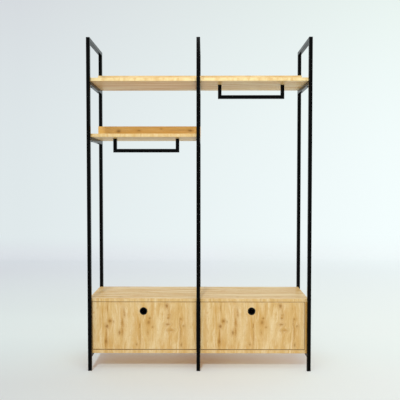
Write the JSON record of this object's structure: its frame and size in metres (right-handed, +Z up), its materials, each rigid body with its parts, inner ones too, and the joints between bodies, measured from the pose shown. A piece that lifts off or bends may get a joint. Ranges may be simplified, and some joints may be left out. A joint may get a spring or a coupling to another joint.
{
  "type": "clothes rack",
  "caption": "Open clothes rack with black square-tube ladder frames, oak shelves with upstands, hanger bars under the shelves and a low drawer cabinet with round finger pulls.",
  "frame": {"origin": "on the floor, under the middle of the rack's bounding box", "axes": "+X to the right seen from the front, +Y from the front to the back, +Z up"},
  "size_m": [1.21, 0.4, 1.8],
  "materials": {
    "black_steel": "smooth satin black powder coat on welded square tube",
    "oak_board": "light golden oak decor on faced board, satin lacquer",
    "drawer_board": "plain light faced board",
    "hardboard": "thin smooth hardboard",
    "black_plastic": "moulded black, fine matte",
    "roller_plastic": "natural white nylon",
    "runner_steel": "light grey epoxy coat on bent sheet steel"
  },
  "bodies": {
    "rack": {"cabinet_back": "hardboard", "cabinet_bottom": "oak_board", "cabinet_divider": "oak_board", "cabinet_left_side": "oak_board", "cabinet_right_side": "oak_board", "cabinet_tabs": "black_steel", "cabinet_top": "oak_board", "foot_glides": "black_plastic", "hanger_plugs": "black_plastic", "left_base_rail": "black_steel", "left_carcass_runners": "runner_steel", "left_front_post": "black_steel", "left_hanger_bar": "black_steel", "left_hanger_left_leg": "black_steel", "left_hanger_right_leg": "black_steel", "left_lower_shelf_rail": "black_steel", "left_rear_post": "black_steel", "left_top_rail": "black_steel", "left_upper_shelf_rail": "black_steel", "lower_shelf": "oak_board", "lower_shelf_upstand": "oak_board", "middle_base_rail": "black_steel", "middle_front_post": "black_steel", "middle_lower_shelf_rail": "black_steel", "middle_rear_post": "black_steel", "middle_top_rail": "black_steel", "middle_upper_shelf_rail": "black_steel", "right_base_rail": "black_steel", "right_carcass_runners": "runner_steel", "right_front_post": "black_steel", "right_hanger_bar": "black_steel", "right_hanger_left_leg": "black_steel", "right_hanger_right_leg": "black_steel", "right_rear_post": "black_steel", "right_top_rail": "black_steel", "right_upper_shelf_rail": "black_steel", "upper_shelf": "oak_board", "upper_shelf_upstand": "oak_board"},
    "left_drawer": {"left_drawer_front": "oak_board", "left_drawer_pull": "black_plastic", "left_drawer_left_side": "drawer_board", "left_drawer_right_side": "drawer_board", "left_drawer_back": "drawer_board", "left_drawer_bottom": "hardboard", "left_drawer_runners": "runner_steel"},
    "left_fixed_rollers": {"left_fixed_rollers": "roller_plastic"},
    "left_drawer_rollers": {"left_drawer_rollers": "roller_plastic"},
    "right_drawer": {"right_drawer_front": "oak_board", "right_drawer_pull": "black_plastic", "right_drawer_left_side": "drawer_board", "right_drawer_right_side": "drawer_board", "right_drawer_back": "drawer_board", "right_drawer_bottom": "hardboard", "right_drawer_runners": "runner_steel"},
    "right_fixed_rollers": {"right_fixed_rollers": "roller_plastic"},
    "right_drawer_rollers": {"right_drawer_rollers": "roller_plastic"}
  },
  "joints": [
    {"name": "left_drawer_slide", "type": "slide", "parent": "rack", "child": "left_drawer", "axis": [0, -1, 0], "range_m": [0, 0.245]},
    {"name": "left_fixed_rollers_spin", "type": "hinge", "parent": "rack", "child": "left_fixed_rollers", "pos_m": [-0.2995, -0.138, 0.1322], "axis": [1, 0, 0], "range_deg": [0, 1800]},
    {"name": "left_drawer_rollers_spin", "type": "hinge", "parent": "left_drawer", "child": "left_drawer_rollers", "pos_m": [-0.2995, 0.127, 0.1295], "axis": [1, 0, 0], "range_deg": [0, 1800]},
    {"name": "right_drawer_slide", "type": "slide", "parent": "rack", "child": "right_drawer", "axis": [0, -1, 0], "range_m": [0, 0.245]},
    {"name": "right_fixed_rollers_spin", "type": "hinge", "parent": "rack", "child": "right_fixed_rollers", "pos_m": [0.2895, -0.138, 0.1322], "axis": [1, 0, 0], "range_deg": [0, 1800]},
    {"name": "right_drawer_rollers_spin", "type": "hinge", "parent": "right_drawer", "child": "right_drawer_rollers", "pos_m": [0.2895, 0.127, 0.1295], "axis": [1, 0, 0], "range_deg": [0, 1800]}
  ],
  "couplings": [
    {"joint": "left_fixed_rollers_spin", "follows": "left_drawer_slide", "rad_per_m": 125},
    {"joint": "left_drawer_rollers_spin", "follows": "left_drawer_slide", "rad_per_m": 125},
    {"joint": "right_fixed_rollers_spin", "follows": "right_drawer_slide", "rad_per_m": 125},
    {"joint": "right_drawer_rollers_spin", "follows": "right_drawer_slide", "rad_per_m": 125}
  ]
}
